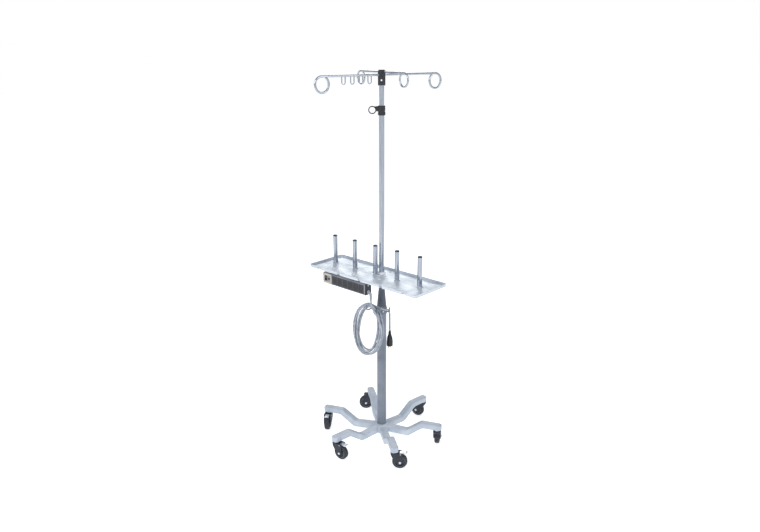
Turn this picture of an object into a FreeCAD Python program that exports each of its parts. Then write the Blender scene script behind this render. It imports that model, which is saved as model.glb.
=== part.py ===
"""Rolling infusion stand for five pumps: six-leg cast base with swivel casters, a fixed column, a tray
with five pump posts, a mains outlet strip with its coiled cord, and a telescoping hook pole.

Millimetres, +Z up. The origin is on the floor, under the pole's axis. X runs along the tray, and the
tray's front edge, with the outlet strip behind it, faces -Y.
"""
import FreeCAD
import Part
import Sketcher
import math
import os

SIZES = {
    # cast base
    "leg_count": 6, "leg_width": 38, "leg_end": 323, "caster_circle": 300,
    "root_top": 73, "root_low": 42, "dip_top": 65, "dip_low": 36, "dip_reach": 138, "dip_reach_low": 150,
    "rise_reach": 215, "rise_reach_low": 226, "tip_top": 120, "tip_low": 94,
    "leg_bend": 32, "leg_edge": 6, "leg_tip_corner": 13, "boss_radius": 46, "boss_top": 78, "boss_collar": 32,
    # casters
    "wheel_radius": 37.5, "tyre_width": 25, "tyre_depth": 9, "tyre_crown": 7, "hub_radius": 13, "web": 9,
    "axle_radius": 4, "axle_play": 0.08, "trail": 28, "fork_width": 38, "wheel_gap": 28.5,
    "hood_gap": 3, "fork_top": 86, "race_radius": 17, "race_play": 0.6, "stem_radius": 5.5, "stem_depth": 20,
    "pedal_reach": 35, "pedal_width": 22, "pedal_pin": 2.5, "pedal_pin_reach": 6,
    # column, pole and collar
    "column_radius": 23.8, "column_low": 44, "column_top": 735, "neck_radius": 15.5, "neck_top": 826,
    "flange_radius": 55, "flange": 5, "bolt_radius": 10,
    "pole_radius": 12.7, "pole_bore": 11.45, "pole_foot": 760, "pole_top": 1700,
    "slider_radius": 11.1, "slider_wall": 1.6, "slider_foot": 1050, "bush_length": 40, "bush_play": 0.08,
    "collar_radius": 16.5, "collar_foot": 1667, "collar_top": 1711, "lug_reach": 27, "lug_width": 16,
    "lever_thick": 7, "lever_wire": 2.2, "lever_loop": 16, "lever_pin": 2, "lever_pin_reach": 22,
    # tray and pump posts
    "tray_length": 700, "tray_depth": 230, "tray_shift": 46, "tray_top": 905, "sheet": 2, "lip": 12,
    "tray_corner": 14, "notch_width": 18, "notch_depth": 9, "post_count": 5, "post_pitch": 139,
    "post_line": 34, "post_shift": 10, "post_radius": 11.1, "post_height": 150, "cap_height": 5,
    "nut_radius": 15, "nut_height": 6, "stud_radius": 6, "boss_ring": 19, "boss_height": 9,
    # outlet strip
    "strip_left": 258, "strip_right": 30, "strip_depth": 42, "strip_height": 54, "strip_drop": 12,
    "strip_front": 150, "outlet_width": 33, "outlet_height": 40, "outlet_pitch": 36.5, "outlet_depth": 24,
    "outlet_count": 6, "outlet_first": 26, "switch_place": 240, "rocker_radius": 12.2, "rocker_width": 17,
    "button_radius": 5, "button_place": 218, "button_stand": 4,
    # cord, plug and hooks
    "cord_radius": 4.5, "sleeve_radius": 6.8, "sleeve_bend": 14, "sleeve_drop": 24,
    "coil_wide": 106, "coil_tall": 156, "coil_band": 44, "coil_thick": 34, "coil_edge": 11,
    "plug_radius": 16, "plug_foot": 506, "plug_top": 566, "plug_tail": 590,
    "band_foot": 698, "band_top": 728, "band_wall": 3, "hook_rod": 3, "coil_hook_reach": 109,
    "coil_hook_foot": 720, "coil_hook_rise": 742, "tail_hook_reach": 40, "tail_hook_rise": 704,
    "hook_tip": 26, "strap_wall": 1.5, "strap_width": 20,
    # hook head
    "head_radius": 17, "head_foot": 1801, "head_top": 1868, "head_bore": 30, "head_play": 0.08,
    "main_rod": 5, "cross_rod": 4,
    "main_rise": 1846, "cross_rise": 1858, "main_reach": 313, "cross_reach": 165, "main_loop": 34,
    "cross_loop": 29, "loop_turn": 318, "ring_count": 4, "ring_first": 66, "ring_pitch": 46, "ring_wire": 2.5,
    "ring_radius": 9, "ring_drop": 24,
}

LEG_ANGLES = [24, 84, 144, 204, 264, 324]
TRAIL_ANGLES = [122, 187, 222, 302, 7, 42]
BRAKED_LEGS = [4, 5, 6]
MAIN_ROD_ANGLE = 78
CROSS_ROD_ANGLE = -12
LEVER_ANGLE = -138
HEAD_SCREW_ANGLE = -50
FLANGE_BOLT_ANGLES = [-20, 60, 120, 200]
COIL_CENTRE = (-13, -83, 638)
COIL_LEAN = 12
TIE_ANGLE = 62
TAIL_HOOK_ANGLE = 36
PLUG_PLACE = (12, 48)
LEAD_ROUTE = [(47, -129, 812), (47, -126, 786), (45, -112, 764), (43, -99, 747)]
TAIL_ROUTE = [(56, -92, 750), (64, -34, 738), (13, 37, 704), (12, 48, 641), (12, 48, 590)]

doc = FreeCAD.newDocument("infusion_stand")
sheet = doc.addObject("Spreadsheet::Sheet", "Sizes")
for row, (alias, number) in enumerate(SIZES.items(), start=1):
    sheet.set("A%d" % row, alias)
    sheet.set("B%d" % row, str(number))
    sheet.setAlias("B%d" % row, alias)
doc.recompute()
nodes = []


class Size:
    """A length from the sheet, or one worked out from some: its value now and its expression."""

    def __init__(self, value, text):
        self.value = value
        self.text = text

    def joined(self, sign, other, value):
        return Size(value, "(%s %s %s)" % (self.text, sign, as_size(other).text))

    def __add__(self, other):
        return self.joined("+", other, self.value + as_size(other).value)

    def __sub__(self, other):
        return self.joined("-", other, self.value - as_size(other).value)

    def __mul__(self, other):
        return self.joined("*", other, self.value * as_size(other).value)

    def __truediv__(self, other):
        return self.joined("/", other, self.value / as_size(other).value)

    def __neg__(self):
        return as_size(0) - self


def as_size(number):
    """A plain number as a Size, and a Size as it is."""
    return number if isinstance(number, Size) else Size(float(number), repr(number))


class Sheet:
    """Reads the sheet's cells as attributes."""

    def __getattr__(self, alias):
        return Size(float(sheet.get(alias)), "Sizes." + alias)


d = Sheet()


def finish(thing, name, place=None):
    """Names a finished sub-part, sets it in its place and lists it for export."""
    thing.Label = name
    if place:
        thing.Placement = place
    nodes.append(thing)
    return thing


def at(x=0, y=0, z=0, turn=0):
    """A placement from lengths or sizes, turned about +Z by degrees."""
    spot = FreeCAD.Vector(as_size(x).value, as_size(y).value, as_size(z).value)
    return FreeCAD.Placement(spot, FreeCAD.Rotation(FreeCAD.Vector(0, 0, 1), turn))


def around(radius, angle, height=0, turn=0):
    """A placement on a circle about the pole's axis."""
    reach = as_size(radius).value
    radians = math.radians(angle)
    return at(reach * math.cos(radians), reach * math.sin(radians), height, turn)


def new_body(name):
    return doc.addObject("PartDesign::Body", name + "_body")


def sketch_on(body, role):
    """An empty sketch on one of the body's own origin planes."""
    plane = next(item for item in body.Origin.OriginFeatures if item.Role == role)
    sketch = body.newObject("Sketcher::SketchObject", "sketch")
    sketch.AttachmentSupport = [(plane, "")]
    sketch.MapMode = "FlatFace"
    return sketch


def hold_point(sketch, line, end, x, y):
    """Ties one point of a line to the sketch's origin by two sizes."""
    for kind, size in (("DistanceX", as_size(x)), ("DistanceY", as_size(y))):
        number = sketch.addConstraint(Sketcher.Constraint(kind, -1, 1, line, end, size.value))
        sketch.setExpression("Constraints[%d]" % number, size.text)


def polygon(body, role, points):
    """A sketch of straight lines through points, each held by its sizes."""
    sketch = sketch_on(body, role)
    corners = [FreeCAD.Vector(as_size(x).value, as_size(y).value, 0) for x, y in points]
    count = len(corners)
    for index in range(count):
        sketch.addGeometry(Part.LineSegment(corners[index], corners[(index + 1) % count]), False)
    for index in range(count):
        sketch.addConstraint(Sketcher.Constraint("Coincident", index, 2, (index + 1) % count, 1))
    for index, (x, y) in enumerate(points):
        hold_point(sketch, index, 1, x, y)
    return sketch


def circles(body, role, rounds):
    """A sketch of circles, each (x, y, radius)."""
    sketch = sketch_on(body, role)
    for index, (x, y, radius) in enumerate(rounds):
        centre = FreeCAD.Vector(as_size(x).value, as_size(y).value, 0)
        circle = Part.Circle(centre, FreeCAD.Vector(0, 0, 1), as_size(radius).value)
        sketch.addGeometry(circle, False)
        hold_point(sketch, index, 3, x, y)
        number = sketch.addConstraint(Sketcher.Constraint("Radius", index, as_size(radius).value))
        sketch.setExpression("Constraints[%d]" % number, as_size(radius).text)
    return sketch


def rectangle(body, role, x_low, y_low, x_high, y_high):
    return polygon(body, role, [(x_low, y_low), (x_high, y_low), (x_high, y_high), (x_low, y_high)])


def pad(body, sketch, length, both_ways=False, lift=None, reverse=False):
    """Adds a pad. lift moves its sketch along the sketch's normal."""
    return extrusion("PartDesign::Pad", body, sketch, length, both_ways, lift, reverse)


def extrusion(kind, body, sketch, length, both_ways, lift, reverse):
    feature = body.newObject(kind, "feature")
    feature.Profile = sketch
    feature.setExpression("Length", as_size(length).text)
    feature.SideType = "Symmetric" if both_ways else "One side"
    feature.Reversed = reverse
    if lift is not None:
        sketch.setExpression("AttachmentOffset.Base.z", as_size(lift).text)
    sketch.Visibility = False
    return feature


def pocket(body, sketch, length, both_ways=False, lift=None, reverse=False):
    """Cuts a pocket and checks that it took something away."""
    doc.recompute()
    before = body.Shape.Volume
    feature = extrusion("PartDesign::Pocket", body, sketch, length, both_ways, lift, reverse)
    doc.recompute()
    if body.Shape.Volume >= before - 0.01:
        raise RuntimeError("a pocket in %s cuts nothing" % body.Name)
    return feature


def revolve(body, sketch):
    """Turns a sketch on the XZ plane about Z."""
    feature = body.newObject("PartDesign::Revolution", "turned")
    feature.Profile = sketch
    feature.ReferenceAxis = (sketch, ["V_Axis"])
    feature.Angle = 360
    return feature


def round_edges(body, radius, wanted, kind="PartDesign::Fillet"):
    """Rounds or bevels the edges for which wanted(edge) is true."""
    doc.recompute()
    base = body.Tip
    names = ["Edge%d" % (index + 1) for index, edge in enumerate(base.Shape.Edges) if wanted(edge)]
    if not names:
        raise RuntimeError("no edges found in %s" % body.Name)
    feature = body.newObject(kind, "rounded")
    feature.Base = (base, names)
    feature.setExpression("Radius" if kind.endswith("Fillet") else "Size", as_size(radius).text)
    return feature


def along(edge, x=0, y=0, z=0):
    """Whether a straight edge runs along the given direction."""
    if not isinstance(edge.Curve, Part.Line):
        return False
    return abs(edge.tangentAt(edge.FirstParameter).dot(FreeCAD.Vector(x, y, z))) > 0.999


def middle(edge):
    return edge.valueAt((edge.FirstParameter + edge.LastParameter) / 2)


def circle_at(edge, height, radius=None):
    """Whether an edge is a level circle at a height, and of a radius when one is given."""
    if not isinstance(edge.Curve, Part.Circle) or abs(edge.BoundBox.ZLength) > 0.01:
        return False
    right_size = radius is None or abs(edge.Curve.Radius - as_size(radius).value) < 0.01
    return right_size and abs(edge.BoundBox.ZMin - as_size(height).value) < 0.01


def turned(name, outline, place=None, soften=None):
    """A sub-part turned about Z from an outline of (radius, height).

    soften, a radius and a list of heights, rounds the level circular edges at those heights.
    """
    body = new_body(name)
    revolve(body, polygon(body, "XZ_Plane", outline))
    if soften:
        radius, heights = soften
        round_edges(body, radius, lambda edge: any(circle_at(edge, height) for height in heights))
    return finish(body, name, place)


def tube_outline(inner, outer, foot, top):
    return [(inner, foot), (outer, foot), (outer, top), (inner, top)]


def repeated(body, feature_name, direction, pitch, count):
    """Repeats the whole body in a line, as separate solids."""
    doc.recompute()
    pattern = body.newObject("PartDesign::LinearPattern", feature_name)
    pattern.TransformMode = "Whole shape"
    axis = next(item for item in body.Origin.OriginFeatures if item.Role == direction)
    pattern.Direction = (axis, [""])
    pattern.Mode = "Spacing"
    pattern.setExpression("Offset", as_size(pitch).text)
    pattern.setExpression("Occurrences", as_size(count).text)
    body.Tip = pattern
    return pattern


# ---- cast base -----------------------------------------------------------------------------------

def base_casting():
    """Six swept legs on one boss: low at the middle, and up over the casters at the tips."""
    name = "base_casting"
    body = new_body(name)
    side = [(0, d.root_low), (d.dip_reach_low, d.dip_low), (d.rise_reach_low, d.tip_low),
            (d.leg_end, d.tip_low), (d.leg_end, d.tip_top), (d.rise_reach, d.tip_top),
            (d.dip_reach, d.dip_top), (0, d.root_top)]
    pad(body, polygon(body, "XZ_Plane", side), d.leg_width, both_ways=True)
    end = d.leg_end.value
    bends = [d.dip_reach.value, d.dip_reach_low.value, d.rise_reach.value, d.rise_reach_low.value]
    round_edges(body, d.leg_tip_corner, lambda edge: along(edge, z=1) and middle(edge).x > end - 1)
    round_edges(body, d.leg_bend, lambda edge: along(edge, y=1)
                and any(abs(middle(edge).x - bend) < 1 for bend in bends))
    half = d.leg_width.value / 2
    round_edges(body, d.leg_edge, lambda edge: abs(abs(middle(edge).y) - half) < 0.01
                and middle(edge).x > 10 and abs(edge.tangentAt(edge.FirstParameter).y) < 0.01
                and not along(edge, z=1) and upper_side(edge))
    doc.recompute()
    pattern = body.newObject("PartDesign::PolarPattern", "six_legs")
    pattern.TransformMode = "Whole shape"
    axis = next(item for item in body.Origin.OriginFeatures if item.Role == "Z_Axis")
    pattern.Axis = (axis, [""])
    pattern.Angle = 360
    pattern.setExpression("Occurrences", d.leg_count.text)
    body.Tip = pattern
    doc.recompute()
    boss = [(0, d.root_low - 4), (d.boss_radius, d.root_low - 4), (d.boss_radius, d.root_top - 5),
            (d.boss_collar, d.boss_top), (0, d.boss_top)]
    revolve(body, polygon(body, "XZ_Plane", boss))
    pocket(body, circles(body, "XY_Plane", [(0, 0, d.column_radius)]), 60, lift=d.column_low, reverse=True)
    bolt_hole = circles(body, "XY_Plane", [(0, 0, d.bolt_radius)])
    pocket(body, bolt_hole, d.column_low, reverse=True)
    for angle in LEG_ANGLES:
        spot = around(d.caster_circle, angle - LEG_ANGLES[0]).Base
        socket = circles(body, "XY_Plane", [(spot.x, spot.y, d.stem_radius)])
        pocket(body, socket, d.stem_depth, lift=d.tip_low, reverse=True)
    return finish(body, name, at(turn=LEG_ANGLES[0]))


def upper_side(edge):
    """Whether an edge of a leg lies on its top, which is above the line of its middle thickness."""
    point = middle(edge)
    reach = [0, d.dip_reach.value + 6, d.rise_reach.value + 5, d.leg_end.value]
    level = [(d.root_top.value + d.root_low.value) / 2, (d.dip_top.value + d.dip_low.value) / 2,
             (d.tip_top.value + d.tip_low.value) / 2, (d.tip_top.value + d.tip_low.value) / 2]
    for near, far, low, high in zip(reach, reach[1:], level, level[1:]):
        if near <= point.x <= far:
            return point.z > low + (high - low) * (point.x - near) / (far - near)
    return False


def caster_stems():
    """The casters' swivel stems, pressed into the leg tips, each with the race it turns on."""
    name = "caster_stems"
    body = new_body(name)
    outline = [(0, d.fork_top - 6), (d.stem_radius + 3, d.fork_top - 6), (d.stem_radius + 3, d.fork_top - 2),
               (d.stem_radius, d.fork_top - 2), (d.stem_radius, d.fork_top + d.race_play),
               (d.race_radius, d.fork_top + d.race_play), (d.race_radius, d.tip_low),
               (d.stem_radius, d.tip_low), (d.stem_radius, d.tip_low + d.stem_depth),
               (0, d.tip_low + d.stem_depth)]
    sketch = polygon(body, "XZ_Plane", outline)
    revolve(body, sketch)
    doc.recompute()
    stem = body.Shape.copy()
    group = doc.addObject("Part::Feature", name)
    group.Shape = Part.makeCompound([placed(stem, around(d.caster_circle, angle)) for angle in LEG_ANGLES])
    return finish(group, name)


def placed(shape, place):
    copy = shape.copy()
    copy.Placement = place
    return copy


def caster_fork(number, place, braked):
    """A hooded fork with its riveted axle. A braked one has a slot with a pin hole for the pedal."""
    name = "caster_fork_%d" % number
    body = new_body(name)
    back = d.race_radius + 1
    side = [(-back, d.fork_top - 7), (d.trail - 12, d.wheel_radius - 11), (d.trail + 9, d.wheel_radius - 11),
            (d.trail + 14, d.wheel_radius + 2), (d.trail + 12, d.fork_top - 4), (d.trail + 6, d.fork_top),
            (-back, d.fork_top)]
    pad(body, polygon(body, "XZ_Plane", side), d.fork_width, both_ways=True)
    round_edges(body, 7, lambda edge: along(edge, y=1) and (middle(edge).z < d.wheel_radius.value))
    round_edges(body, 9, lambda edge: along(edge, z=1) and middle(edge).x < 0)
    hood = circles(body, "XZ_Plane", [(d.trail, d.wheel_radius, d.wheel_radius + d.hood_gap)])
    pocket(body, hood, d.wheel_gap, both_ways=True)
    axle = circles(body, "XZ_Plane", [(d.trail, d.wheel_radius, d.axle_radius)])
    pad(body, axle, d.fork_width + 3, both_ways=True)
    seat = circles(body, "XY_Plane", [(0, 0, d.stem_radius + 3.5)])
    pocket(body, seat, d.fork_top - d.wheel_radius, lift=d.fork_top - 1.5)
    neck = circles(body, "XY_Plane", [(0, 0, d.stem_radius + 0.3)])
    pocket(body, neck, 10, lift=d.fork_top + 1)
    if braked:
        slot = rectangle(body, "XZ_Plane", d.trail - 4, d.fork_top - 6.5, d.trail + 20, d.fork_top + 2)
        pocket(body, slot, d.pedal_width + 1, both_ways=True)
        hole = circles(body, "XZ_Plane", [(d.trail + d.pedal_pin_reach - 4, d.fork_top - 3.6,
                                           d.pedal_pin + d.axle_play)])
        pocket(body, hole, d.fork_width + 6, both_ways=True)
    return finish(body, name, place)


def brake_pedal(number, place):
    """A pressed pedal over the wheel, with the pin that it rocks on."""
    name = "brake_pedal_%d" % number
    body = new_body(name)
    pin_x = d.trail + d.pedal_pin_reach - 4
    pin_z = d.fork_top - 3.6
    tip = pin_x + d.pedal_reach
    side = [(pin_x - 2, pin_z - 0.2), (pin_x + 8, pin_z + 0.2), (tip - 6, pin_z - 1), (tip, pin_z + 3),
            (tip - 1, pin_z + 5.5), (tip - 8, pin_z + 3), (pin_x + 8, pin_z + 3.6), (pin_x - 2, pin_z + 3.4)]
    pad(body, polygon(body, "XZ_Plane", side), d.pedal_width, both_ways=True)
    pad(body, circles(body, "XZ_Plane", [(pin_x, pin_z, d.pedal_pin)]), d.fork_width + 2, both_ways=True)
    lip = tip.value - 6
    round_edges(body, 6, lambda edge: along(edge, y=1) and abs(middle(edge).x - lip) < 0.5
                and middle(edge).z < pin_z.value)
    return finish(body, name, place)


def wheel(number, place):
    """A moulded wheel centre with a web and a hub, and the tyre on its rim."""
    core = new_body("wheel_core_%d" % number)
    bore = d.axle_radius + d.axle_play
    rim = d.wheel_radius - d.tyre_depth
    half = d.tyre_width / 2
    hub_half = d.wheel_gap / 2 - 0.6
    outline = [(bore, -hub_half), (d.hub_radius, -hub_half), (d.hub_radius, -d.web / 2),
               (rim - 4, -d.web / 2), (rim - 4, -half + 1), (rim, -half + 1), (rim, half - 1),
               (rim - 4, half - 1),
               (rim - 4, d.web / 2), (d.hub_radius, d.web / 2), (d.hub_radius, hub_half), (bore, hub_half)]
    revolve(core, polygon(core, "XZ_Plane", outline))
    lying = FreeCAD.Rotation(FreeCAD.Vector(1, 0, 0), 90)
    centre = FreeCAD.Placement(FreeCAD.Vector(d.trail.value, 0, d.wheel_radius.value), lying)
    finish(core, "wheel_core_%d" % number, place.multiply(centre))
    tyre = new_body("tyre_%d" % number)
    revolve(tyre, polygon(tyre, "XZ_Plane", tube_outline(rim, d.wheel_radius, -half, half)))
    round_edges(tyre, d.tyre_crown, lambda edge: circle_at(edge, half, d.wheel_radius)
                or circle_at(edge, -half, d.wheel_radius))
    return finish(tyre, "tyre_%d" % number, place.multiply(centre))


def casters():
    caster_stems()
    for number, (leg, trail) in enumerate(zip(LEG_ANGLES, TRAIL_ANGLES), start=1):
        place = around(d.caster_circle, leg, turn=trail)
        braked = number in BRAKED_LEGS
        caster_fork(number, place, braked)
        wheel(number, place)
        if braked:
            brake_pedal(number, place)


# ---- column, pole and collar ---------------------------------------------------------------------

def column():
    """A thick steel tube, closed by a coned neck. Its flange is slotted for the middle post's nut."""
    wall = 2
    turned("column", tube_outline(d.column_radius - wall, d.column_radius, d.column_low, d.column_top))
    under = d.tray_top - d.sheet
    neck = new_body("column_neck")
    revolve(neck, polygon(neck, "XZ_Plane", [
        (d.pole_radius, d.column_top), (d.column_radius, d.column_top), (d.neck_radius, d.neck_top),
        (d.neck_radius, under - d.flange - 6), (d.neck_radius + 9, under - d.flange),
        (d.flange_radius, under - d.flange), (d.flange_radius, under), (d.pole_radius, under)]))
    room = d.nut_radius + 3
    nut_slot = rectangle(neck, "XY_Plane", -d.post_shift - room, -d.flange_radius - 5, -d.post_shift + room,
                         -d.neck_radius - 1.5)
    pocket(neck, nut_slot, d.flange + 8, lift=under)
    finish(neck, "column_neck")
    body = new_body("base_bolt")
    pad(body, circles(body, "XY_Plane", [(0, 0, d.column_radius - wall)]), 8, lift=d.column_low)
    pad(body, circles(body, "XY_Plane", [(0, 0, d.bolt_radius)]), 20, lift=d.column_low - 20)
    finish(body, "base_bolt")


def outer_pole():
    turned("outer_pole", tube_outline(d.pole_bore, d.pole_radius, d.pole_foot, d.pole_top))


def inner_pole():
    """The sliding tube, and the plastic bush that guides its foot inside the outer pole."""
    inside = d.slider_radius - d.slider_wall
    turned("inner_pole", tube_outline(inside, d.slider_radius, d.slider_foot, d.head_foot + d.head_bore))
    bush = d.pole_bore - d.bush_play
    foot = d.slider_foot - d.bush_length
    turned("pole_bush", [
        (0, foot), (bush, foot), (bush, d.slider_foot), (inside, d.slider_foot),
        (inside, d.slider_foot + 12), (0, d.slider_foot + 12)])


def collar_lock():
    """The black lock on the outer pole's top, with a lug and a pin for its finger lever."""
    name = "collar_lock"
    body = new_body(name)
    slide_gap = d.slider_radius + 0.35
    outline = [(d.pole_radius, d.collar_foot), (d.collar_radius - 1.5, d.collar_foot),
               (d.collar_radius, d.collar_foot + 2),
               (d.collar_radius, d.collar_foot + 14), (d.collar_radius - 1, d.collar_foot + 16),
               (d.collar_radius - 1, d.collar_foot + 20), (d.collar_radius, d.collar_foot + 22),
               (d.collar_radius, d.collar_top - 2), (d.collar_radius - 2, d.collar_top),
               (slide_gap, d.collar_top), (slide_gap, d.pole_top), (d.pole_radius, d.pole_top)]
    revolve(body, polygon(body, "XZ_Plane", outline))
    lug = rectangle(body, "XZ_Plane", d.pole_radius + 1, d.collar_foot + 18, d.lug_reach, d.collar_top - 3)
    pad(body, lug, d.lug_width, both_ways=True)
    round_edges(body, 5, lambda edge: along(edge, y=1) and middle(edge).x > d.lug_reach.value - 1)
    slot = rectangle(body, "XZ_Plane", d.collar_radius + 0.5, d.collar_foot + 10,
                     d.lug_reach + 5, d.collar_top + 5)
    pocket(body, slot, d.lever_thick + 0.8, both_ways=True)
    pin = circles(body, "XZ_Plane", [(d.lever_pin_reach, d.collar_top - 11, d.lever_pin)])
    pad(body, pin, d.lug_width + 1, both_ways=True)
    return finish(body, name, at(turn=LEVER_ANGLE))


def collar_lever():
    """The finger lever: a short arm on the collar's pin, and a loop for one finger."""
    name = "collar_lever"
    body = new_body(name)
    pin_z = d.collar_top - 11
    centre_x = d.lever_pin_reach + 5 + d.lever_loop
    centre_z = pin_z - 9
    arm = [(d.collar_radius + 2, pin_z - 3.5), (centre_x + 4, pin_z + 1.5), (centre_x + 6, pin_z + 6),
           (d.lever_pin_reach + 4, pin_z + 7.5), (d.collar_radius + 2, pin_z + 5)]
    pad(body, polygon(body, "XZ_Plane", arm), d.lever_thick, both_ways=True)
    outer = d.lever_loop + d.lever_wire
    inner = d.lever_loop - d.lever_wire
    ring = circles(body, "XZ_Plane", [(centre_x, centre_z, outer), (centre_x, centre_z, inner)])
    pad(body, ring, d.lever_wire * 2, both_ways=True)
    pocket(body, circles(body, "XZ_Plane", [(centre_x, centre_z, inner)]), d.lever_thick + 2, both_ways=True)
    hole = circles(body, "XZ_Plane", [(d.lever_pin_reach, pin_z, d.lever_pin + d.axle_play)])
    pocket(body, hole, d.lever_thick + 2, both_ways=True)
    return finish(body, name, at(turn=LEVER_ANGLE))


# ---- tray and pump posts -------------------------------------------------------------------------

def tray():
    """A folded tray with a raised lip, cable notches in its front edge, and holes for posts and pole."""
    name = "tray"
    body = new_body(name)
    half_length = d.tray_length / 2
    half_depth = d.tray_depth / 2
    middle_y = -d.tray_shift
    foot = d.tray_top - d.sheet
    blank = rectangle(body, "XY_Plane", -half_length, middle_y - half_depth,
                      half_length, middle_y + half_depth)
    pad(body, blank, d.lip + d.sheet, lift=foot)
    round_edges(body, d.tray_corner, lambda edge: along(edge, z=1))
    hollow_from_top(body, d.sheet)
    round_edges(body, d.sheet * 0.9, lambda edge: abs(middle(edge).z - foot.value) < 0.01
                and abs(edge.BoundBox.ZLength) < 0.01 and outer_rim(edge))
    front = middle_y - half_depth
    for notch_x in spread_out(d.post_count, d.post_pitch):
        notch = rectangle(body, "XY_Plane", as_size(notch_x) - d.notch_width / 2, front - 1,
                          as_size(notch_x) + d.notch_width / 2, front + d.notch_depth)
        pocket(body, notch, d.lip + d.sheet * 3, lift=foot - d.sheet, reverse=True)
    holes = [(post_x, -d.post_line, d.stud_radius) for post_x in post_places()]
    flange_bolts = [(x, y, 3) for x, y in flange_bolt_places()]
    holes_sketch = circles(body, "XY_Plane", holes + flange_bolts + [(0, 0, d.pole_radius)])
    pocket(body, holes_sketch, d.sheet * 3, lift=foot - d.sheet, reverse=True)
    return finish(body, name)


def outer_rim(edge):
    """Whether an edge lies on the tray's outer outline."""
    point = middle(edge)
    inside_x = abs(point.x) < d.tray_length.value / 2 - d.tray_corner.value
    inside_y = abs(point.y + d.tray_shift.value) < d.tray_depth.value / 2 - d.tray_corner.value
    return not (inside_x and inside_y)


def hollow_from_top(body, wall):
    """Leaves a wall of sheet and opens the body's top face."""
    doc.recompute()
    base = body.Tip
    top = max(range(len(base.Shape.Faces)), key=lambda index: base.Shape.Faces[index].CenterOfMass.z)
    feature = body.newObject("PartDesign::Thickness", "hollow")
    feature.Base = (base, ["Face%d" % (top + 1)])
    feature.setExpression("Value", as_size(wall).text)
    feature.Reversed = True
    feature.Join = 1


def spread_out(count, pitch):
    """X of each thing in a row that is centred on the pole's axis, from the left."""
    last = int(count.value) - 1
    return [(index - last / 2) * pitch.value for index in range(last + 1)]


def post_places():
    """X of each pump post, from the left. The row stands a little to the left of the notches."""
    return [x - d.post_shift.value for x in spread_out(d.post_count, d.post_pitch)]


def flange_bolt_places():
    ring = d.flange_radius.value - 10
    return [(ring * math.cos(math.radians(angle)), ring * math.sin(math.radians(angle)))
            for angle in FLANGE_BOLT_ANGLES]


def pump_posts():
    """Five round posts, each with a stud through the tray, an end cap, and nuts above and below the sheet."""
    foot = d.tray_top + d.nut_height
    top = d.tray_top + d.post_height
    for number, x in enumerate(post_places(), start=1):
        turned("pump_post_%d" % number, [
            (0, d.tray_top - 14), (d.stud_radius, d.tray_top - 14), (d.stud_radius, foot),
            (d.post_radius, foot), (d.post_radius, top - d.cap_height),
            (d.post_radius - 3, top - d.cap_height),
            (d.post_radius - 3, top - 15), (0, top - 15)],
            at(x, -d.post_line))
    cap = new_body("post_caps")
    cap_outline = [(0, top - 15), (d.post_radius - 3, top - 15), (d.post_radius - 3, top - d.cap_height),
                   (d.post_radius, top - d.cap_height), (d.post_radius, top - 1.5),
                   (d.post_radius - 1.5, top), (0, top)]
    revolve(cap, polygon(cap, "XZ_Plane", cap_outline))
    repeated(cap, "five_caps", "X_Axis", d.post_pitch, d.post_count)
    finish(cap, "post_caps", at(post_places()[0], -d.post_line))
    nut = new_body("post_nuts")
    hexagon = [(d.nut_radius * round(math.cos(math.radians(60 * turn)), 6),
                d.nut_radius * round(math.sin(math.radians(60 * turn)), 6)) for turn in range(6)]
    for low, high in ((d.tray_top, foot), (d.tray_top - d.sheet - 7, d.tray_top - d.sheet)):
        pad(nut, polygon(nut, "XY_Plane", hexagon), high - low, lift=low)
        bore = circles(nut, "XY_Plane", [(0, 0, d.stud_radius)])
        pocket(nut, bore, high - low, lift=low, reverse=True)
    repeated(nut, "five_pairs", "X_Axis", d.post_pitch, d.post_count)
    finish(nut, "post_nuts", at(post_places()[0], -d.post_line))


def tray_fittings():
    """The white ring round the pole, and the flange's four bolts."""
    turned("pole_ring", [
        (d.pole_radius, d.tray_top), (d.boss_ring, d.tray_top), (d.boss_ring, d.tray_top + 2),
        (d.pole_radius + 5, d.tray_top + d.boss_height), (d.pole_radius, d.tray_top + d.boss_height)])
    bolts = []
    for x, y in flange_bolt_places():
        foot = FreeCAD.Vector(x, y, d.tray_top.value - 7)
        shank = Part.makeCylinder(3, d.flange.value + d.sheet.value, foot)
        head = Part.makeSphere(7, FreeCAD.Vector(x, y, d.tray_top.value - 4))
        flat = Part.makeBox(20, 20, 10, FreeCAD.Vector(x - 10, y - 10, d.tray_top.value))
        bolts.append(shank.fuse(head.common(flat)).removeSplitter())
    group = doc.addObject("Part::Feature", "tray_bolts")
    group.Shape = Part.makeCompound(bolts)
    finish(group, "tray_bolts")


# ---- outlet strip --------------------------------------------------------------------------------

def strip_top():
    return d.tray_top - d.sheet - d.strip_drop


def outlet_places():
    """X of each outlet's middle, from the right."""
    right = d.strip_right.value - d.outlet_first.value
    return [right - index * d.outlet_pitch.value for index in range(int(d.outlet_count.value))]


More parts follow.
